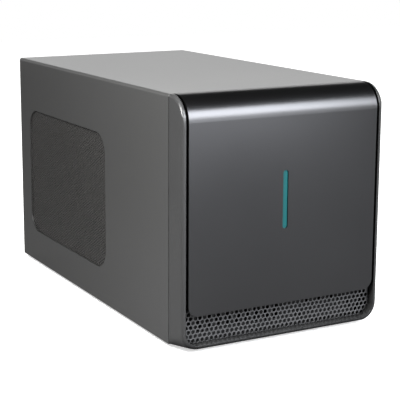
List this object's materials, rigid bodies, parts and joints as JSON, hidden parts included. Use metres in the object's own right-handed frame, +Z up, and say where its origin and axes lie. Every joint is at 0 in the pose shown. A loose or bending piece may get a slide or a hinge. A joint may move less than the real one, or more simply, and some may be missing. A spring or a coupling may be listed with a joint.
{
  "type": "pcie expansion chassis",
  "caption": "Upright desktop chassis with a U-shaped vented cover, a curved front plate over a honeycomb grille, a card bay, a case fan and a power supply.",
  "frame": {"origin": "on the surface that the feet stand on, in the middle of the whole width and depth", "axes": "+X to the right seen from the front, +Y to the rear panel, +Z up; the front plate faces -Y"},
  "size_m": [0.185, 0.346, 0.202],
  "materials": {
    "powder_coat": "fine satin powder coat, dark warm grey",
    "frame_steel": "black satin paint on sheet steel",
    "bracket_steel": "zinc-plated sheet steel",
    "screw_steel": "bright zinc plate",
    "foot_rubber": "matt black rubber",
    "bezel_plastic": "moulded plastic with a fine spark texture",
    "plate_aluminium": "brushed and anodised dark grey",
    "light_plastic": "translucent teal",
    "grille_steel": "black painted perforated steel",
    "circuit_board": "green solder mask over glass-fibre laminate",
    "spacer_brass": "turned brass",
    "connector_plastic": "moulded black nylon",
    "latch_plastic": "moulded blue nylon",
    "sink_aluminium": "extruded, clear anodised",
    "can_aluminium": "bright cans with a dark mark",
    "choke_ferrite": "pressed iron powder",
    "fan_plastic": "moulded black plastic",
    "guard_wire": "plated steel wire",
    "knob_steel": "black oxide on knurled steel"
  },
  "bodies": {
    "chassis": {"base_tray": "frame_steel", "front_bulkhead": "frame_steel", "rear_panel": "frame_steel", "panel_nuts": "screw_steel", "chassis_rivets": "screw_steel", "foot_front_left": "foot_rubber", "foot_front_right": "foot_rubber", "foot_rear_left": "foot_rubber", "foot_rear_right": "foot_rubber", "front_bezel": "bezel_plastic", "front_plate": "plate_aluminium", "light_guide": "light_plastic", "led_board": "circuit_board", "front_grille": "grille_steel", "bezel_screws": "screw_steel", "main_board": "circuit_board", "board_standoffs": "spacer_brass", "board_screws": "screw_steel", "card_connector": "connector_plastic", "controller_heatsink": "sink_aluminium", "power_headers": "connector_plastic", "capacitors": "can_aluminium", "inductors": "choke_ferrite", "data_port": "bracket_steel", "fan_bracket": "bracket_steel", "fan_frame": "fan_plastic", "fan_guard": "guard_wire", "fan_screws": "screw_steel", "psu_case": "frame_steel", "psu_fan_frame": "fan_plastic", "psu_fan_guard": "guard_wire", "psu_outlets": "connector_plastic", "psu_screws": "screw_steel", "mains_inlet": "connector_plastic", "inlet_pins": "screw_steel", "inlet_screws": "screw_steel"},
    "cover": {"cover": "powder_coat", "vent_sheet_left": "powder_coat", "vent_sheet_right": "powder_coat"},
    "knob_lower_left": {"thumbscrew_1": "knob_steel"},
    "knob_lower_right": {"thumbscrew_2": "knob_steel"},
    "knob_upper_left": {"thumbscrew_3": "knob_steel"},
    "knob_upper_right": {"thumbscrew_4": "knob_steel"},
    "case_fan": {"fan_rotor": "fan_plastic", "fan_shaft": "screw_steel"},
    "psu_fan": {"psu_fan_rotor": "fan_plastic", "psu_fan_shaft": "screw_steel"},
    "latch": {"card_latch": "latch_plastic"},
    "blank_1": {"slot_cover_1": "bracket_steel", "slot_screw_1": "screw_steel"},
    "blank_2": {"slot_cover_2": "bracket_steel", "slot_screw_2": "screw_steel"}
  },
  "joints": [
    {"name": "cover_slide", "type": "slide", "parent": "chassis", "child": "cover", "axis": [0, 1, 0], "range_m": [0, 0.33]},
    {"name": "knob_lower_left_turn", "type": "hinge", "parent": "cover", "child": "knob_lower_left", "pos_m": [-0.0863, 0.167, 0.022], "axis": [0, 1, 0], "continuous": true},
    {"name": "knob_lower_right_turn", "type": "hinge", "parent": "cover", "child": "knob_lower_right", "pos_m": [0.0863, 0.167, 0.022], "axis": [0, 1, 0], "continuous": true},
    {"name": "knob_upper_left_turn", "type": "hinge", "parent": "cover", "child": "knob_upper_left", "pos_m": [-0.0863, 0.167, 0.184], "axis": [0, 1, 0], "continuous": true},
    {"name": "knob_upper_right_turn", "type": "hinge", "parent": "cover", "child": "knob_upper_right", "pos_m": [0.0863, 0.167, 0.184], "axis": [0, 1, 0], "continuous": true},
    {"name": "case_fan_spin", "type": "hinge", "parent": "chassis", "child": "case_fan", "pos_m": [0.0744, 0.05509, 0.094], "axis": [1, 0, 0], "continuous": true},
    {"name": "psu_fan_spin", "type": "hinge", "parent": "chassis", "child": "psu_fan", "pos_m": [0.0323, -0.0988, 0.0682], "axis": [1, 0, 0], "continuous": true},
    {"name": "latch_tilt", "type": "hinge", "parent": "chassis", "child": "latch", "pos_m": [-0.043, 0.014, 0.0176], "axis": [1, 0, 0], "range_deg": [0, 24]},
    {"name": "blank_1_lift", "type": "slide", "parent": "chassis", "child": "blank_1", "axis": [0, 0, 1], "range_m": [0, 0.045]},
    {"name": "blank_2_lift", "type": "slide", "parent": "chassis", "child": "blank_2", "axis": [0, 0, 1], "range_m": [0, 0.045]}
  ]
}
